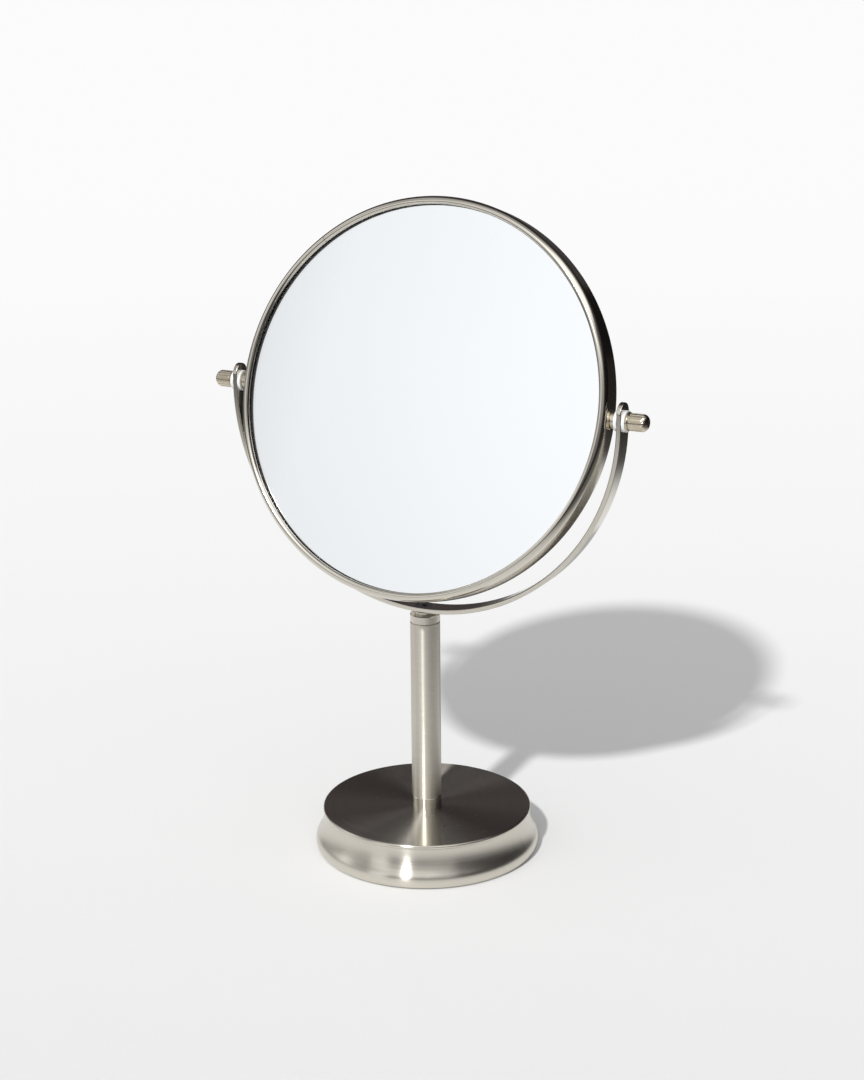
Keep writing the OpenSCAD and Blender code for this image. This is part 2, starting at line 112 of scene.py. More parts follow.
class HeadSizes(bpy.types.PropertyGroup):
    """Sizes of the mirror head, along its own axis from front to rear."""
    pivot_z: length("Pivot height", "Height of the pivot axis above the floor", PIVOT_Z)
    lean: angle("Lean", "How far the mirror leans back at rest", 17)
    glass_r: length("Glass radius", "Radius of both glasses", reach("front_glass", 0))
    front_y: length("Front face", "Place of the flat glass's face", -5.7 * MM)
    front_t: length("Front thickness", "Thickness of the flat glass", 1.97 * MM)
    rear_y: length("Rear edge", "Place of the curved glass's rear edge", 5.2 * MM)
    rear_t: length("Rear thickness", "Thickness of the curved glass", 1.8 * MM)
    hollow: length("Hollow", "Depth of the hollow in the curved glass", 3.3 * MM)
    bevel: length("Bevel", "Ground bevel along the glasses' edges", 0.3 * MM)
    segments: count("Segments", "Faces round each glass", 256)
    rings: count("Rings", "Rings of faces on each side of the curved glass", 64)


class RimSizes(bpy.types.PropertyGroup):
    """Sizes of the rolled rim's section."""
    outer_r: length("Outer radius", "Radius of the rim's outer wall", 100 * MM)
    inner_r: length("Inner radius", "Radius of the opening between the lips", 95.75 * MM)
    half_depth: length("Half depth", "From the rim's middle to a bead's crest", 8 * MM)
    bead_outer_r: length("Outer bead radius", "Radius of the bead on its outer side", 3.4 * MM)
    bead_inner_r: length("Inner bead radius", "Radius of the bead on its inner side", 1.6 * MM)
    wall: length("Wall", "Thickness of the sheet metal", 1.2 * MM)
    front_lip_y: length("Front lip", "Where the front lip ends", -6.1 * MM)
    rear_lip_y: length("Rear lip", "Where the rear lip ends", 5.6 * MM)
    edge_r: length("Edge rounding", "Rounding of the sheet's edges", 0.15 * MM)
    joint: angle("Joint", "Place of the butt joint in the mirror's face", 130)
    joint_w: length("Joint width", "Gap of the butt joint", 0.25 * MM)
    segments: count("Segments", "Faces round the rim", 480)


class NutSizes(bpy.types.PropertyGroup):
    """Sizes of a cap nut, along the pivot axis from the middle of the mirror."""
    start_x: length("Start", "Where the flange begins", 108.845 * MM)
    flange_t: length("Flange thickness", "Thickness of the flange", 0.9 * MM)
    flange_r: length("Flange radius", "Radius of the flange", 4.6 * MM)
    neck_w: length("Undercut width", "Width of the undercut behind the flange", 0.6 * MM)
    neck_r: length("Undercut radius", "Radius of the undercut", 3.7 * MM)
    body_r: length("Body radius", "Radius of the knurled body", 4.3 * MM)
    end_x: length("End", "Where the domed end lies", reach("thumb_nut_right", 0))
    dome_r: length("Dome radius", "Radius of the rounded end", 3 * MM)
    bore_r: length("Bore radius", "Radius of the bore", 2.05 * MM)
    bore_x: length("Bore end", "Where the bore ends", 115.945 * MM)
    flute_r: length("Flute radius", "Radius of each flute", 0.5 * MM)
    flute_d: length("Flute depth", "Depth of each flute", 0.35 * MM)
    soften: length("Softening", "Rounding of the turned edges", 0.12 * MM)
    first_row: length("First row", "From the body's start to its first row of points", 2 * MM)
    last_row: length("Last row", "From the body's last row of points to the dome", 0.5 * MM)
    flutes: count("Flutes", "Number of flutes", 16)
    columns: count("Columns", "Faces across one flute's sector", 14)
    weld: length("Weld", "Distance below which points of two sectors become one", 0.001 * MM)


class Finishes(bpy.types.PropertyGroup):
    """Colours of the object's materials."""
    nickel: colour("Nickel", "Brushed nickel plate", (0.7, 0.665, 0.59))
    warm: colour("Warm nickel", "Satin nickel of the pivot hardware", (0.66, 0.595, 0.48))
    silver: colour("Silvering", "Reflection of the silver layer", (0.955, 0.978, 1.0))
    glass: colour("Glass", "Glass in front of the silver layer", (0.995, 1.0, 1.0))
    ground: colour("Ground edge", "The glasses' ground edge", (0.55, 0.72, 0.66))
    nylon: colour("Nylon", "Washers", (0.86, 0.87, 0.88))
    steel: colour("Steel", "Zinc plated screws and washers", (0.52, 0.53, 0.55))
    seal: colour("Seal", "Gaskets", (0.018, 0.0175, 0.018))
    iron: colour("Iron", "Painted weight", (0.045, 0.045, 0.05))
    foam: colour("Foam", "Foam ring and base pad", (0.04, 0.04, 0.043))
    card: colour("Card", "Backing card", (0.28, 0.2, 0.12))


class Floor(bpy.types.PropertyGroup):
    """The floor's tones, with painted shade that darkens it towards the camera, and the painted dark
    reflection that glossy rays see where its light ends, like a table's.
    """
    radius: length("Radius", "Radius of the floor", 14)
    ring_r: length("Ring radius", "Radius of the ring between the floor's middle and its outside", 1)
    segments: count("Segments", "Faces round the floor", 128)
    drop: length("Drop", "How far the floor lies below the object", 0.1 * MM)
    # Painted shade: the floor's tone darkens towards the camera and grows paler far away, standing in
    # for the light's falloff
    tone: factor("Tone", "Tone of the floor before it is dimmed", 0.995)
    painted_falloff: factor("Dimming", "How much the floor darkens towards the camera", 0.12)
    stem_y: length("Stem's distance", "Distance of the stem from the dimming's origin", 1.05)
    nearest: length("Nearest", "Distance at which the dimming grows no further", 0.78)
    far_tone: factor("Far tone", "Tone far away on every side", 0.97)
    far_from: length("Far from", "Radius at which the far tone begins", 0.45)
    far_to: length("Far to", "Radius at which the far tone is reached", 3)
    # Painted reflection: where these fades take the floor's light away, glossy rays see a dark colour
    # instead of the white floor, like a table that ends in a dark room
    front: fade("Front", "Reflected light in front", 0.03, 0.25, 0.08)
    right: fade("Right", "Reflected light on the right", 0.12, 0.5, 0.86)
    back: fade("Back", "Reflected light at the back right", 0.38, 0.56, 0.9)
    back_side: length("Back side", "How far to the right the fade at the back is full", 0.15)
    edge: fade("Edge", "Reflected light all round", 0.7, 1.2, 0.9)
    painted_dark_reflection: colour("Unlit", "What reflections see where the light has gone", (0.02, 0.018, 0.017))


class Studio(bpy.types.PropertyGroup):
    """The camera and the light."""
    focal_px: factor("Focal length", "Focal length in pixels of a frame 1080 high", 2136.0)
    distance: length("Distance", "Distance from the camera to its target", 1.0861)
    target_z: length("Target height", "Height of the target on the stem's axis", 0.13)
    azimuth: angle("Azimuth", "Turn of the camera from straight in front to the right", 27.23)
    elevation: angle("Elevation", "Angle at which the camera looks down", 16.77)
    roll: angle("Roll", "Turn of the camera about its own axis", -0.5)
    target_u: factor("Target across", "Pixels from the frame's left edge to the target", 425.0)
    target_v: factor("Target down", "Pixels from the frame's top edge to the target", 606.9)
    key_elevation: angle("Key elevation", "Height of the key light", 40.9)
    key_azimuth: angle("Key azimuth", "Turn of the key light from straight in front", 2.5)
    key_size: angle("Key size", "Angular size of the key light", 3)
    key_strength: factor("Key strength", "Strength of the key light", 2.25)
    fill: factor("Fill", "Level of the even light from all round", 0.53)


# Node building

class Socket:
    """A node's output that takes part in Python arithmetic on numbers."""

    def __init__(self, graph, out):
        self.graph = graph
        self.out = out

    def __add__(self, other):
        return self.graph.math("ADD", self, other)

    def __mul__(self, other):
        return self.graph.math("MULTIPLY", self, other)

    def __sub__(self, other):
        return self.graph.math("SUBTRACT", self, other)

    def __rsub__(self, other):
        return self.graph.math("SUBTRACT", other, self)

    def __truediv__(self, other):
        return self.graph.math("DIVIDE", self, other)

    def __rtruediv__(self, other):
        return self.graph.math("DIVIDE", other, self)

    __radd__ = __add__


class Graph:
    """A node tree with one method that adds any node."""

    def __init__(self, tree):
        self.tree = tree
        self.tree.nodes.clear()

    def add(self, kind, inputs=None, settings=None, out=0):
        """Add a node, make its settings and give its sockets values or links."""
        node = self.tree.nodes.new(kind)
        for name, value in (settings or {}).items():
            if name == "stops":
                self.set_stops(node.color_ramp, value)
            else:
                setattr(node, name, value)
        for key, value in (inputs or {}).items():
            if isinstance(value, Socket):
                self.tree.links.new(value.out, node.inputs[key])
            else:
                node.inputs[key].default_value = value
        return Socket(self, node.outputs[out]) if len(node.outputs) else None

    @staticmethod
    def set_stops(ramp, stops):
        """Give a ramp its stops: pairs of a place and a colour."""
        while len(ramp.elements) < len(stops):
            ramp.elements.new(1.0)
        for element, (place, value) in zip(ramp.elements, stops):
            element.position = place
            element.color = rgba(value)

    def math(self, operation, *values):
        """A Math node on one or two values."""
        return self.add("ShaderNodeMath", dict(enumerate(values)), {"operation": operation})

    def band(self, value, low, high):
        """A smooth step from 0 at low to 1 at high."""
        return self.add("ShaderNodeMapRange",
                        {"Value": value, "From Min": low, "From Max": high},
                        {"interpolation_type": "SMOOTHSTEP"})

    def vector(self, x, y, z):
        """Three numbers as one vector."""
        return self.add("ShaderNodeCombineXYZ", {0: x, 1: y, 2: z})

    def split(self, vector):
        """A vector's three numbers."""
        first = self.add("ShaderNodeSeparateXYZ", {0: vector})
        return [Socket(self, first.out.node.outputs[i]) for i in range(3)]

    def mix(self, amount, a, b):
        """A colour between a and b."""
        return self.add("ShaderNodeMix", {0: amount, 6: a, 7: b}, {"data_type": "RGBA"}, out=2)

    def ray(self, kind):
        """1 where a ray is of one kind, such as Camera or Glossy."""
        return self.add("ShaderNodeLightPath", out="Is " + kind + " Ray")

    def noise(self, vector, scale, detail=2.0, roughness=0.5):
        """Noise around 0.5 at a vector."""
        return self.add("ShaderNodeTexNoise",
                        {"Vector": vector, "Scale": scale, "Detail": detail,
                         "Roughness": roughness})


def rgba(values, scale=1.0):
    """A colour with full alpha, made lighter or darker by a factor."""
    return (*[v * scale for v in values], 1.0)


class Finish(Graph):
    """A material under construction, with the object's coordinates at hand."""

    def __init__(self, name):
        self.material = bpy.data.materials.new(name)
        self.material.use_nodes = True
        super().__init__(self.material.node_tree)
        self.place = self.add("ShaderNodeTexCoord", out="Object")

    def turned_place(self, centre, lean):
        """Object coordinates about a centre, turned about X so that the head stands upright."""
        moved = self.add("ShaderNodeVectorMath", {0: self.place, 1: centre},
                         {"operation": "SUBTRACT"})
        return self.add("ShaderNodeMapping", {"Vector": moved, "Rotation": (lean, 0, 0)})

    def streaked(self, tint, lines, dark, light):
        """The tint of brushed metal, darker and lighter along its brush lines."""
        return self.mix(self.band(lines, 0.3, 0.7), rgba(tint, dark), rgba(tint, light))

    def surface(self, **inputs):
        """Close the material with a Principled shader; names use _ for spaces."""
        values = {name.replace("_", " "): value for name, value in inputs.items()}
        shader = self.add("ShaderNodeBsdfPrincipled", values)
        self.add("ShaderNodeOutputMaterial", {"Surface": shader})
        return self.material

    def bump(self, height, distance):
        """A small relief for the Normal socket."""
        return self.add("ShaderNodeBump", {"Height": height, "Distance": distance})


def polar(graph, across, up):
    """Distance from an axis and the angle round it."""
    radius = graph.math("SQRT", across * across + up * up)
    return radius, graph.math("ARCTAN2", up, across)


def brushing(graph, across, depth, along, fine, stretch):
    """Brush lines: noise that is fine across the stroke and long along it; along is a length."""
    lines = graph.vector(across * fine, depth * fine, along * (fine / stretch))
    return graph.noise(lines, scale=1.0, detail=3.0, roughness=0.6)


def lathe_metal(name, tint, roughness, anisotropy):
    """Metal turned about Z, with ring-shaped brush lines."""
    f = Finish(name)
    x, y, z = f.split(f.place)
    radius, turn = polar(f, x, y)
    lines = brushing(f, radius, z, turn * 0.02, fine=2600.0, stretch=60.0)
    cloud = f.noise(f.place, scale=60.0)
    base = f.streaked(tint, lines, dark=0.94, light=1.05)
    base = f.mix(f.band(cloud, 0.35, 0.7) * 0.5, base, rgba(tint, 0.97))
    return f.surface(Base_Color=base, Metallic=1.0,
                     Roughness=roughness + (lines - 0.5) * 0.12 + (cloud - 0.5) * 0.05,
                     Anisotropic=anisotropy, Anisotropic_Rotation=0.25,
                     Normal=f.bump(lines, 0.0012 * MM))


def base_metal(tint):
    """The base's shell: brushed in rings, with a skirt slightly glossier than its top."""
    f = Finish("Base nickel")
    x, y, z = f.split(f.place)
    radius, turn = polar(f, x, y)
    lines = brushing(f, radius, z, turn * 0.02, fine=3000.0, stretch=60.0)
    coarse = brushing(f, radius, z, turn * 0.05, fine=900.0, stretch=60.0)
    crest = reach("base_shell", 2)
    top = f.band(z, crest - 0.8 * MM, crest - 0.2 * MM)
    base = f.streaked(tint, lines, dark=0.95, light=1.04)
    base = f.mix(f.band(coarse, 0.4, 0.65) * 0.4, base, rgba(tint, 0.96))
    rough = 0.2 + (lines - 0.5) * 0.05 + (coarse - 0.5) * 0.04
    return f.surface(Base_Color=base, Metallic=1.0, Roughness=rough + top * 0.06,
                     Anisotropic=1.0, Anisotropic_Rotation=0.25,
                     Normal=f.bump(lines, 0.0006 * MM))


def rim_metal(tint, pivot_z, lean):
    """The rolled rim, brushed round its circle."""
    f = Finish("Rim nickel")
    x, y, z = f.split(f.turned_place((0, 0, pivot_z), lean))
    radius, turn = polar(f, x, z)
    lines = brushing(f, radius, y, turn * 0.1, fine=1800.0, stretch=40.0)
    base = f.streaked(tint, lines, dark=0.95, light=1.04)
    return f.surface(Base_Color=base, Metallic=1.0,
                     Roughness=0.13 + (lines - 0.5) * 0.06,
                     Normal=f.bump(lines, 0.0004 * MM))


def yoke_metal(tint, bend_z):
    """The yoke's strip, brushed along its length: round its bend, and straight above bend_z."""
    f = Finish("Yoke nickel")
    x, y, z = f.split(f.place)
    height = z - bend_z
    below = f.math("MINIMUM", height, 0.0)
    above = f.math("MAXIMUM", height, 0.0)
    side = f.math("ABSOLUTE", x)
    radius, turn = polar(f, side, below)
    lines = brushing(f, radius, y, turn * 0.1 + above, fine=1800.0, stretch=40.0)
    base = f.streaked(tint, lines, dark=0.95, light=1.04)
    return f.surface(Base_Color=base, Metallic=1.0,
                     Roughness=0.15 + (lines - 0.5) * 0.06,
                     Normal=f.bump(lines, 0.0004 * MM))


def pivot_metal(name, tint, pivot_z, roughness):
    """Metal turned about the pivot axis."""
    f = Finish(name)
    x, y, z = f.split(f.place)
    radius, turn = polar(f, y, z - pivot_z)
    lines = brushing(f, radius, x, turn * 0.002, fine=4000.0, stretch=30.0)
    base = f.streaked(tint, lines, dark=0.93, light=1.05)
    return f.surface(Base_Color=base, Metallic=1.0,
                     Roughness=roughness + (lines - 0.5) * 0.1,
                     Normal=f.bump(lines, 0.005 * MM))


def silvered(tint):
    """The silver layer behind a glass."""
    f = Finish("Silvering")
    haze = f.noise(f.place, scale=25.0, detail=3.0)
    base = f.mix(haze * 0.2, rgba(tint), rgba(tint, 0.98))
    return f.surface(Base_Color=base, Metallic=1.0, Roughness=haze * 0.01)


def clear_glass(glass, ground, glass_r, pivot_z, lean):
    """Clear glass in front of the silver layer, matt on its ground edge."""
    f = Finish("Clear glass")
    x, y, z = f.split(f.turned_place((0, 0, pivot_z), lean))
    radius = polar(f, x, z)[0]
    edge = f.band(radius, glass_r - 0.5 * MM, glass_r - 0.1 * MM)
    base = f.mix(edge, rgba(glass), rgba(ground))
    return f.surface(Base_Color=base, Roughness=edge * 0.35, Transmission_Weight=1.0, IOR=1.5)


def moulded(name, tint, roughness, grain, relief, sheen=0.0):
    """A plain moulded or cast material with a fine grain."""
    f = Finish(name)
    speck = f.noise(f.place, scale=grain, detail=4.0, roughness=0.6)
    cloud = f.noise(f.place, scale=grain * 0.1)
    base = f.mix(f.band(speck, 0.35, 0.65), rgba(tint, 0.9), rgba(tint))
    base = f.mix(cloud * 0.3, base, rgba(tint, 0.85))
    return f.surface(Base_Color=base, Roughness=roughness + (speck - 0.5) * 0.15,
                     Sheen_Weight=sheen, Normal=f.bump(speck, relief))


# Mesh building

def new_piece(name, mesh):
    """A new object at the origin that holds a mesh."""
    piece = bpy.data.objects.new(name, mesh)
    bpy.context.scene.collection.objects.link(piece)
    return piece


def rounded(points, radius, steps=4):
    """A line of points whose inner corners are rounded; a corner may name its own radius."""
    result = [Vector(points[0][:2])]
    for before, corner, after in zip(points, points[1:], points[2:]):
        own = corner[2] if len(corner) > 2 else radius
        tip = Vector(corner[:2])
        if not own:
            result.append(tip)
            continue
        to_start = (Vector(before[:2]) - tip).normalized()
        to_end = (Vector(after[:2]) - tip).normalized()
        half = to_start.angle(to_end) / 2
        cut = own / math.tan(half)
        start = tip + to_start * cut
        end = tip + to_end * cut
        centre = tip + (to_start + to_end).normalized() * (own / math.sin(half))
        for i in range(steps + 1):
            spoke = (start - centre).lerp(end - centre, i / steps)
            result.append(centre + spoke.normalized() * own)
    result.append(Vector(points[-1][:2]))
    return result


def smoothed(piece):
    """Shade a piece smooth between its sharp edges, with its flat faces truly flat."""
    mesh = piece.data
    mesh.polygons.foreach_set("use_smooth", [True] * len(mesh.polygons))
    mesh.set_sharp_from_angle(angle=SHARP)
    modifier = piece.modifiers.new("Weighted normals", "WEIGHTED_NORMAL")
    modifier.keep_sharp = True
    evaluated = piece.evaluated_get(bpy.context.evaluated_depsgraph_get())
    piece.data = bpy.data.meshes.new_from_object(evaluated)
    piece.modifiers.remove(modifier)
    return piece


def turned(name, section, segments, place):
    """A section of (radius, height) turned about Z, then put in place; radius 0 closes a pole."""
    mesh = bpy.data.meshes.new(name)
    shape = bmesh.new()
    rings = []
    for radius, height in section:
        if radius < CLOSE:
            rings.append([shape.verts.new((0, 0, height))] * segments)
            continue
        rings.append([shape.verts.new((radius * math.cos(2 * math.pi * i / segments),
                                       radius * math.sin(2 * math.pi * i / segments), height))
                      for i in range(segments)])
    for low, high in zip(rings, rings[1:]):
        for i in range(segments):
            j = (i + 1) % segments
            corners = dict.fromkeys((low[i], low[j], high[j], high[i]))
            if len(corners) > 2:
                shape.faces.new(corners)
    bmesh.ops.recalc_face_normals(shape, faces=shape.faces)
    shape.transform(place)
    shape.to_mesh(mesh)
    shape.free()
    return smoothed(new_piece(name, mesh))


def tree_with(name, sockets):
    """A geometry tree with the given inputs: the tree, its graph and its input sockets by name."""
    tree = bpy.data.node_groups.new(name, "GeometryNodeTree")
    for label, kind in sockets:
        tree.interface.new_socket(label, in_out="INPUT", socket_type="NodeSocket" + kind)
    tree.interface.new_socket("Geometry", in_out="OUTPUT", socket_type="NodeSocketGeometry")
    g = Graph(tree)
    given = tree.nodes.new("NodeGroupInput")
    return tree, g, {out.name: Socket(g, out) for out in given.outputs if out.name}


def finish_tree(g, geometry, material):
    """End a geometry tree with real geometry that carries its material."""
    solid = g.add("GeometryNodeRealizeInstances", {"Geometry": geometry})
    dressed = g.add("GeometryNodeSetMaterial", {"Geometry": solid, "Material": material})
    g.add("NodeGroupOutput", {0: dressed})


def repeat_tree():
    """Geometry nodes that repeat a sector about the X axis and weld the copies."""
    tree, g, asked = tree_with("Repeat about the pivot axis", (
        ("Geometry", "Geometry"), ("Copies", "Int"), ("Weld", "Float"), ("Height", "Float"),
        ("Lean", "Float"), ("Material", "Material")))
    points = g.add("GeometryNodeMeshLine", {"Count": asked["Copies"], "Offset": (0, 0, 0)})
    step = 2 * math.pi / asked["Copies"]
    turn = g.add("GeometryNodeInputIndex") * step + asked["Lean"]
    rotation = g.add("FunctionNodeAxisAngleToRotation", {"Axis": (1, 0, 0), "Angle": turn})
    copies = g.add("GeometryNodeInstanceOnPoints",
                   {"Points": points, "Instance": asked["Geometry"], "Rotation": rotation})
    lifted = g.add("GeometryNodeTransform",
                   {"Geometry": copies, "Translation": g.vector(0.0, 0.0, asked["Height"])})
    solid = g.add("GeometryNodeRealizeInstances", {"Geometry": lifted})
    welded = g.add("GeometryNodeMergeByDistance",
                   {"Geometry": solid, "Distance": asked["Weld"]})
    finish_tree(g, welded, asked["Material"])
    return tree


def grown(piece, tree, values):
    """Run a geometry tree on a piece and keep the result as the piece's plain mesh."""
    modifier = piece.modifiers.new(tree.name, "NODES")
    modifier.node_group = tree
    for item in tree.interface.items_tree:
        if item.in_out == "INPUT" and item.name in values:
            modifier[item.identifier] = values[item.name]
    evaluated = piece.evaluated_get(bpy.context.evaluated_depsgraph_get())
    mesh = bpy.data.meshes.new_from_object(evaluated)
    piece.modifiers.remove(modifier)
    mesh.materials.clear()
    mesh.materials.append(values["Material"])
    mesh.polygons.foreach_set("material_index", [0] * len(mesh.polygons))
    piece.data = mesh
    return smoothed(piece)


def dress(material, *names):
    """Give CAD nodes a material."""
    for name in names:
        node = frame["nodes"][name]
        for slot in node.material_slots:
            slot.material = material


def head_place(sizes):
    """The matrix that puts a lathe's axis along the leaning mirror's axis, front to rear."""
    return (Matrix.Translation((0, 0, sizes.pivot_z)) @ Matrix.Rotation(-sizes.lean, 4, "X")
            @ Matrix.Rotation(math.radians(-90), 4, "X"))


def arc(centre, radius, start, end, steps=14):
    """Points on an arc in the plane of a section, between two angles in radians."""
    return [(centre[0] + radius * math.cos(start + (end - start) * i / steps),
             centre[1] + radius * math.sin(start + (end - start) * i / steps))
            for i in range(steps + 1)]


def rim_section(sizes):
    """The rolled channel's closed outline as (radius, depth), starting at the front lip."""
    spread = sizes.bead_outer_r - sizes.bead_inner_r
    lean_in = math.acos((sizes.inner_r + sizes.bead_inner_r - sizes.outer_r + sizes.bead_outer_r)
                        / spread)
    outer_c = (sizes.outer_r - sizes.bead_outer_r,
               sizes.half_depth - sizes.bead_inner_r - spread * math.sin(lean_in))
    inner_c = (sizes.inner_r + sizes.bead_inner_r, sizes.half_depth - sizes.bead_inner_r)
    bead = (arc(outer_c, sizes.bead_outer_r, 0, lean_in)
            + arc(inner_c, sizes.bead_inner_r, lean_in, math.pi)[1:])
    inside_r = sizes.bead_outer_r - sizes.wall
    start = math.acos((sizes.inner_r + sizes.wall - outer_c[0]) / inside_r)
    channel = arc(outer_c, inside_r, start, 0)

    def front(points):
        """The same points in front of the rim's middle, in reverse order."""
        return [(r, -y) for r, y in reversed(points)]

    def lip_end(depth, side):
        """The sheet's rounded edge at the end of a lip, from its inner face outwards."""
        inner, outer = sizes.inner_r, sizes.inner_r + sizes.wall
        back = depth + sizes.wall * side
        return rounded([(inner, back), (inner, depth), (outer, depth), (outer, back)],
                       sizes.edge_r)[1:-1]

    rear_end = lip_end(sizes.rear_lip_y, 1)
    front_end = lip_end(sizes.front_lip_y, -1)
    return front(bead) + bead + rear_end + channel + front(channel) + front_end[::-1]


def rim_tree():
    """Geometry nodes that sweep a closed section round a circle and leave one joint open."""
    tree, g, asked = tree_with("Rolled rim", (
        ("Geometry", "Geometry"), ("Radius", "Float"), ("Joint", "Float"), ("Gap", "Float"),
        ("Segments", "Int"), ("Material", "Material")))
    profile = g.add("GeometryNodeMeshToCurve", {"Mesh": asked["Geometry"]})
    path = g.add("GeometryNodeCurveArc", {
        "Resolution": asked["Segments"], "Radius": asked["Radius"],
        "Start Angle": asked["Joint"] + asked["Gap"] * 0.5,
        "Sweep Angle": 2 * math.pi - asked["Gap"]}, {"mode": "RADIUS"})
    swept = g.add("GeometryNodeCurveToMesh",
                  {"Curve": path, "Profile Curve": profile, "Fill Caps": True})
    outward = g.add("GeometryNodeFlipFaces", {"Mesh": swept})
    finish_tree(g, outward, asked["Material"])
    return tree


def nut_sector(sizes, side):
    """One sector of the nut about the X axis, with a flute in its middle."""
    body_x = sizes.start_x + sizes.flange_t + sizes.neck_w
    section = rounded([
        (sizes.bore_x, 0), (sizes.bore_x, sizes.bore_r, 0), (sizes.start_x, sizes.bore_r, 0),
        (sizes.start_x, sizes.flange_r), (sizes.start_x + sizes.flange_t, sizes.flange_r),
        (sizes.start_x + sizes.flange_t, sizes.neck_r, 0), (body_x, sizes.neck_r, 0),
        (body_x, sizes.body_r), (body_x + sizes.first_row, sizes.body_r, 0),
        (sizes.end_x - sizes.dome_r - sizes.last_row, sizes.body_r, 0),
        (sizes.end_x, sizes.body_r, sizes.dome_r), (sizes.end_x, 0)], sizes.soften, steps=10)
    cutter = sizes.body_r + sizes.flute_r - sizes.flute_d
    half = math.pi / sizes.flutes
    mesh = bpy.data.meshes.new("sector")
    shape = bmesh.new()
    rows = []
    for x, radius in section:
        row = []
        for i in range(sizes.columns + 1):
            theta = -half + 2 * half * i / sizes.columns
            reached = radius
            inside = sizes.flute_r ** 2 - (cutter * math.sin(theta)) ** 2
            if inside > 0 and x >= body_x - CLOSE:
                floor = cutter * math.cos(theta) - math.sqrt(inside)
                reached = min(radius, floor)
            row.append(shape.verts.new((x * side, reached * math.sin(theta),
                                        reached * math.cos(theta))))
        rows.append(row)
    for low, high in zip(rows, rows[1:]):
        for i in range(sizes.columns):
            shape.faces.new((low[i], low[i + 1], high[i + 1], high[i]))
    bmesh.ops.remove_doubles(shape, verts=shape.verts, dist=CLOSE)
    shape.to_mesh(mesh)
    shape.free()
    if side < 0:
        mesh.flip_normals()
    return new_piece("sector", mesh)


# Operators

class MIRROR_OT_base(bpy.types.Operator):
    """Finish the base's shell in brushed nickel"""
    bl_idname = "mirror.base"
    bl_label = "Base"

    def execute(self, context):
        dress(base_metal(context.scene.mirror_finishes.nickel), "base_shell")
        return {"FINISHED"}


class MIRROR_OT_stem(bpy.types.Operator):
    """Finish the stem and its two collars"""
    bl_idname = "mirror.stem"
    bl_label = "Stem"

    def execute(self, context):
        tint = context.scene.mirror_finishes.nickel
        dress(lathe_metal("Stem nickel", tint, roughness=0.38, anisotropy=0.87), "stem_tube")
        dress(lathe_metal("Collar nickel", tint, roughness=0.22, anisotropy=0.95),
              "lower_adaptor", "upper_adaptor")
        return {"FINISHED"}


class MIRROR_OT_yoke(bpy.types.Operator):
    """Finish the yoke and its screw"""
    bl_idname = "mirror.yoke"
    bl_label = "Yoke"

    def execute(self, context):
        finishes = context.scene.mirror_finishes
        low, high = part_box("yoke")
        dress(yoke_metal(finishes.nickel, low[2] + high[0]), "yoke")
        dress(lathe_metal("Screw nickel", finishes.steel, roughness=0.25, anisotropy=0.3),
              "yoke_screw")
        return {"FINISHED"}


class MIRROR_OT_rim(bpy.types.Operator):
    """Roll the rim round the glasses"""
    bl_idname = "mirror.rim"
    bl_label = "Rim"

    def execute(self, context):
        head = context.scene.mirror_head
        sizes = context.scene.mirror_rim
        section = rim_section(sizes)
        mesh = bpy.data.meshes.new("section")
        mesh.from_pydata([(r - sizes.outer_r, -y, 0) for r, y in section],
                         [(i, (i + 1) % len(section)) for i in range(len(section))], [])
        metal = rim_metal(context.scene.mirror_finishes.nickel, head.pivot_z, head.lean)
        piece = grown(new_piece("rolled_rim", mesh), rim_tree(), {
            "Radius": sizes.outer_r, "Joint": -sizes.joint,
            "Gap": sizes.joint_w / sizes.outer_r, "Segments": sizes.segments,
            "Material": metal})
        piece.data.transform(head_place(head))
        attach(piece, "mirror_head")
        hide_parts("mirror_rim")
        return {"FINISHED"}


class MIRROR_OT_glasses(bpy.types.Operator):
    """Make the flat glass and the hollow magnifying glass"""
    bl_idname = "mirror.glasses"
    bl_label = "Glasses"

    def execute(self, context):
        sizes = context.scene.mirror_head
        finishes = context.scene.mirror_finishes
        silver = silvered(finishes.silver)
        clear = clear_glass(finishes.glass, finishes.ground, sizes.glass_r, sizes.pivot_z,
                            sizes.lean)
        place = head_place(sizes)
        rear_of_flat = sizes.front_y + sizes.front_t
        flat = turned("flat_glass", rounded([
            (0, sizes.front_y), (sizes.glass_r, sizes.front_y), (sizes.glass_r, rear_of_flat),
            (0, rear_of_flat)], sizes.bevel, steps=3), sizes.segments, place)
        curve_r = (sizes.glass_r ** 2 + sizes.hollow ** 2) / (2 * sizes.hollow)
        centre = sizes.rear_y + curve_r - sizes.hollow
        inner_r = sizes.glass_r - sizes.bevel

        def face(thickness):
            """One curved face, from the middle outwards."""
            radii = [inner_r * i / sizes.rings for i in range(sizes.rings + 1)]
            return [(r, centre - math.sqrt((curve_r + thickness) ** 2 - r * r)) for r in radii]

        rear, front = face(0.0), face(sizes.rear_t)
        rim = [(sizes.glass_r, rear[-1][1] - sizes.bevel),
               (sizes.glass_r, front[-1][1] + sizes.bevel)]
        hollow = turned("magnifying_glass", rear + rim + front[::-1], sizes.segments, place)
        axis = (place.to_3x3() @ Vector((0, 0, 1))).normalized()
        for piece, node, outward in ((flat, "front_glass", -axis), (hollow, "rear_glass", axis)):
            piece.data.materials.append(clear)
            piece.data.materials.append(silver)
            for polygon in piece.data.polygons:
                # The glass's inner face carries the silver layer
                polygon.material_index = int(polygon.normal.dot(outward) < -0.9)
            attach(piece, "mirror_head")
            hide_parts(node)
        return {"FINISHED"}


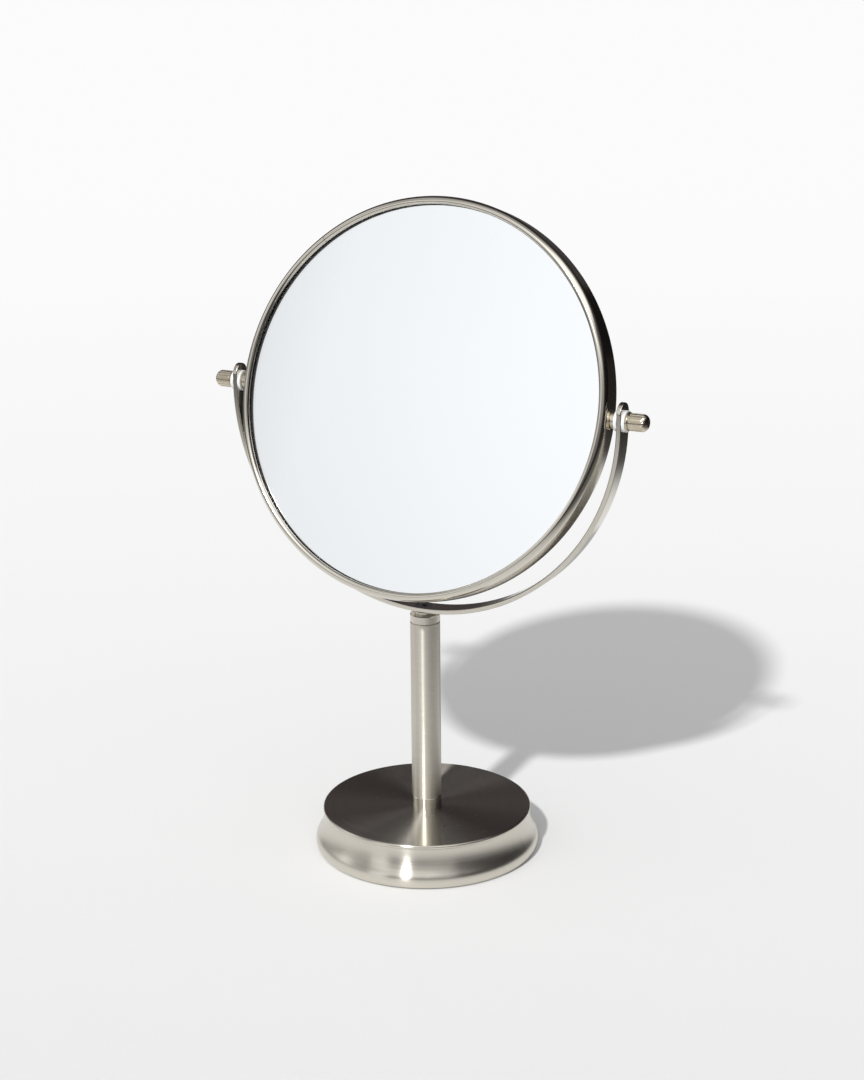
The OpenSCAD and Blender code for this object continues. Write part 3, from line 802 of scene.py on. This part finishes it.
class MIRROR_OT_pivots(bpy.types.Operator):
    """Finish the studs and the washers at both pivots"""
    bl_idname = "mirror.pivots"
    bl_label = "Pivots"

    def execute(self, context):
        finishes = context.scene.mirror_finishes
        pivot_z = context.scene.mirror_head.pivot_z
        dress(pivot_metal("Stud nickel", finishes.warm, pivot_z, roughness=0.24),
              "pivot_stud_left", "pivot_stud_right")
        dress(moulded("White nylon", finishes.nylon, roughness=0.42, grain=900.0,
                      relief=0.01 * MM),
              "inner_washer_left", "inner_washer_right", "outer_washer_left", "outer_washer_right")
        return {"FINISHED"}


class MIRROR_OT_nuts(bpy.types.Operator):
    """Make the knurled cap nuts on both pivots"""
    bl_idname = "mirror.nuts"
    bl_label = "Nuts"

    def execute(self, context):
        sizes = context.scene.mirror_nut
        head = context.scene.mirror_head
        metal = pivot_metal("Nut nickel", context.scene.mirror_finishes.warm, head.pivot_z,
                            roughness=0.22)
        tree = repeat_tree()
        values = {"Copies": sizes.flutes, "Weld": sizes.weld, "Height": head.pivot_z,
                  "Lean": -head.lean, "Material": metal}
        for side, word in ((-1, "left"), (1, "right")):
            piece = grown(nut_sector(sizes, side), tree, values)
            piece.name = "cap_nut_" + word
            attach(piece, "nut_" + word)
            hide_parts("thumb_nut_" + word)
        return {"FINISHED"}


class MIRROR_OT_inside(bpy.types.Operator):
    """Finish the pieces inside the head and the base"""
    bl_idname = "mirror.inside"
    bl_label = "Inside"

    def execute(self, context):
        finishes = context.scene.mirror_finishes
        dress(moulded("Seal", finishes.seal, roughness=0.6, grain=5000.0, relief=0.002 * MM),
              "front_gasket", "rear_gasket")
        dress(moulded("Card", finishes.card, roughness=0.85, grain=400.0, relief=0.04 * MM),
              "backing_card")
        dress(moulded("Foam", finishes.foam, roughness=0.9, grain=700.0, relief=0.1 * MM,
                      sheen=0.3),
              "spacer_ring", "base_pad")
        dress(moulded("Painted iron", finishes.iron, roughness=0.5, grain=300.0, relief=0.1 * MM),
              "base_weight")
        dress(lathe_metal("Zinc plate", finishes.steel, roughness=0.3, anisotropy=0.3),
              "base_bolt", "base_spring_washer", "base_flat_washer")
        return {"FINISHED"}


# What reflections see of the studio, in rows from low to high: pairs of an azimuth in degrees, 0 in
# front and 90 on the right, and a level
ROOM_LOW = (
    (-180, 0.05), (-112, 0.06), (-95, 0.35), (-75, 0.3), (-58, 0.5), (-40, 0.45), (-34, 0.6),
    (-31.7, 0.83), (-26, 0.9), (-21, 0.95), (-17, 0.8), (-10, 0.15), (10, 0.12), (30, 0.2),
    (52, 0.2), (64, 0.04), (90, 0.008), (180, 0.008))
ROOM_MID = (
    (-180, 0.07), (-110, 0.06), (-95, 0.7), (-70, 1.4), (-55, 0.55), (-40, 0.45), (-34, 0.7),
    (-31.7, 0.9), (-26, 0.99), (-21, 1.03), (-16, 0.9), (-8, 0.5), (10, 0.34), (50, 0.36),
    (62, 0.06), (80, 0.01), (180, 0.01))
ROOM_HIGH = (
    (-180, 0.02), (-114, 0.04), (-96, 0.6), (-70, 1.1), (-54, 0.3), (-34, 0.5), (-16, 1.0),
    (32, 1.1), (50, 0.6), (66, 0.15), (90, 0.08), (150, 0.05), (180, 0.03))
ROOM_TOP = (
    (-180, 0.02), (-122, 0.06), (-108, 0.18), (-88, 0.6), (-60, 0.35), (-36, 0.8), (-15, 1.0),
    (10, 1.3), (60, 1.6), (90, 1.2), (114, 0.7), (136, 0.12), (160, 0.03), (180, 0.03))
# Between which heights each further row takes over from the one below; a height is the sine of
# the elevation
ROOM_ABOVE = (((0.15, 0.33), ROOM_MID), ((0.42, 0.56), ROOM_HIGH), ((0.66, 0.78), ROOM_TOP))
CEILING = 0.35
CEILING_HEIGHTS = (0.93, 0.99)
# The room is warm below this level; the changes of red and green are those of black
WARM_BELOW = 0.25
WARM_RED, WARM_GREEN = 0.13, -0.05


def room_colour(level):
    """The colour of the room at a level, warm where it is dark."""
    warmth = max(0.0, 1 - level / WARM_BELOW)
    return level * (1 + WARM_RED * warmth), level * (1 + WARM_GREEN * warmth), level


def floor_finish(floor, azimuth):
    """White floor with painted shade, darker towards the camera and paler far away; glossy rays see
    it as a painted dark reflection where its light ends, like a table's.
    """
    f = Finish("White floor")
    x, y, z = f.split(f.place)
    away = polar(f, x, y)[0]
    # Painted shade: the tone darkens towards the camera and fades to the far tone far away, standing
    # in for the light's falloff
    behind = y * math.cos(azimuth) - x * math.sin(azimuth) + floor.stem_y
    tone = floor.tone - floor.painted_falloff / f.math("MAXIMUM", behind, floor.nearest)
    tone = tone + (floor.far_tone - tone) * f.band(away, floor.far_from, floor.far_to)

    def kept(value, limits, where=1.0):
        """The share of the reflected light that a fade keeps."""
        start, end, strength = limits
        return 1 - f.band(value, start, end) * where * strength

    # Painted reflection: glossy rays see a dark colour in front, on the right, at the back right and
    # far away; camera and diffuse rays still see the white floor
    to_right = f.band(x, 0.0, floor.back_side)
    light = kept(y * -1.0, floor.front) * kept(x, floor.right)
    light = light * kept(y, floor.back, to_right) * kept(away, floor.edge)
    white = f.add("ShaderNodeBsdfDiffuse", {"Color": f.vector(tone, tone, tone)})
    dark = f.add("ShaderNodeEmission", {"Color": rgba(floor.painted_dark_reflection)})
    painted_reflection_mask = f.ray("Glossy") * (1 - light)
    seen = f.add("ShaderNodeMixShader", {0: painted_reflection_mask, 1: white, 2: dark})
    f.add("ShaderNodeOutputMaterial", {"Surface": seen})
    return f.material


def build_world(studio):
    """An even fill; camera rays see white, and reflections see the studio's bright and dark sides."""
    world = bpy.data.worlds.new("Studio")
    bpy.context.scene.world = world
    world.use_nodes = True
    world.cycles.sampling_method = "NONE"
    g = Graph(world.node_tree)
    x, y, z = g.split(g.add("ShaderNodeTexCoord", out="Generated"))
    turn = g.math("ARCTAN2", x, y * -1.0) / (2 * math.pi) + 0.5

    def panorama(levels):
        """A ramp round the horizon."""
        stops = [(azimuth / 360 + 0.5, room_colour(level)) for azimuth, level in levels]
        return g.add("ShaderNodeValToRGB", {"Fac": turn}, {"stops": stops})

    around = panorama(ROOM_LOW)
    for heights, levels in ROOM_ABOVE:
        around = g.mix(g.band(z, *heights), around, panorama(levels))
    around = g.mix(g.band(z, *CEILING_HEIGHTS), around, rgba([CEILING] * 3))
    straight = g.math("MAXIMUM", g.ray("Camera"), g.ray("Transmission"))
    even = g.mix(straight, rgba([studio.fill] * 3), (1.0, 1.0, 1.0, 1.0))
    seen = g.mix(g.ray("Glossy"), even, around)
    shader = g.add("ShaderNodeBackground", {"Color": seen, "Strength": 1.0})
    g.add("ShaderNodeOutputWorld", {"Surface": shader})


def build_camera(studio):
    """A camera on whose frame the target lies at the given pixel."""
    sin_a, cos_a = math.sin(studio.azimuth), math.cos(studio.azimuth)
    sin_e, cos_e = math.sin(studio.elevation), math.cos(studio.elevation)
    back = Vector((sin_a * cos_e, -cos_a * cos_e, sin_e))
    level = Vector((cos_a, sin_a, 0))
    upright = back.cross(level)
    right = math.cos(studio.roll) * level + math.sin(studio.roll) * upright
    up = math.cos(studio.roll) * upright - math.sin(studio.roll) * level
    per_px = studio.distance / studio.focal_px
    place = (Vector((0, 0, studio.target_z)) + back * studio.distance
             - right * (studio.target_u - FRAME_W / 2) * per_px
             + up * (studio.target_v - FRAME_H / 2) * per_px)
    lens = bpy.data.cameras.new("Camera")
    lens.sensor_fit = "VERTICAL"
    lens.sensor_height = 36
    lens.lens = studio.focal_px / FRAME_H * lens.sensor_height
    camera = bpy.data.objects.new("Camera", lens)
    bpy.context.scene.collection.objects.link(camera)
    turned_to = Matrix((right, up, back)).transposed().to_4x4()
    camera.matrix_world = Matrix.Translation(place) @ turned_to
    bpy.context.scene.camera = camera


class MIRROR_OT_stage(bpy.types.Operator):
    """Set up the white floor, the light and the camera"""
    bl_idname = "mirror.stage"
    bl_label = "Stage"

    def execute(self, context):
        studio = context.scene.mirror_studio
        sizes = context.scene.mirror_floor
        floor = turned("floor", [(0, 0), (sizes.ring_r, 0), (sizes.radius, 0)], sizes.segments,
                       Matrix.Translation((0, 0, -sizes.drop)))
        floor.data.materials.append(floor_finish(sizes, studio.azimuth))
        sun = bpy.data.lights.new("Key", "SUN")
        sun.energy = studio.key_strength
        sun.angle = studio.key_size
        key = bpy.data.objects.new("Key", sun)
        context.scene.collection.objects.link(key)
        key.rotation_euler = (math.pi / 2 - studio.key_elevation, 0, studio.key_azimuth)
        build_world(studio)
        build_camera(studio)
        context.scene.view_settings.view_transform = "Standard"
        return {"FINISHED"}


STEPS = (MIRROR_OT_base, MIRROR_OT_stem, MIRROR_OT_yoke, MIRROR_OT_rim, MIRROR_OT_glasses,
         MIRROR_OT_pivots, MIRROR_OT_nuts, MIRROR_OT_inside, MIRROR_OT_stage)


class MIRROR_PT_panel(bpy.types.Panel):
    """Lists the mirror's operators"""
    bl_idname = "MIRROR_PT_panel"
    bl_label = "Table Mirror"
    bl_space_type = "VIEW_3D"
    bl_region_type = "UI"
    bl_category = "Mirror"

    def draw(self, context):
        for step in STEPS:
            self.layout.operator(step.bl_idname)


GROUPS = {"mirror_head": HeadSizes, "mirror_rim": RimSizes, "mirror_nut": NutSizes,
          "mirror_finishes": Finishes, "mirror_floor": Floor, "mirror_studio": Studio}


def register():
    """Register the classes and hang the property groups on the scene."""
    for cls in (*GROUPS.values(), *STEPS, MIRROR_PT_panel):
        bpy.utils.register_class(cls)
    for name, group in GROUPS.items():
        setattr(bpy.types.Scene, name, bpy.props.PointerProperty(type=group))


def unregister():
    """Undo register."""
    for name in GROUPS:
        delattr(bpy.types.Scene, name)
    for cls in (MIRROR_PT_panel, *reversed(STEPS), *GROUPS.values()):
        bpy.utils.unregister_class(cls)


def main():
    """Build every piece in order."""
    register()
    for step in STEPS:
        space, name = step.bl_idname.split(".")
        getattr(getattr(bpy.ops, space), name)()


if __name__ == "__main__":
    main()
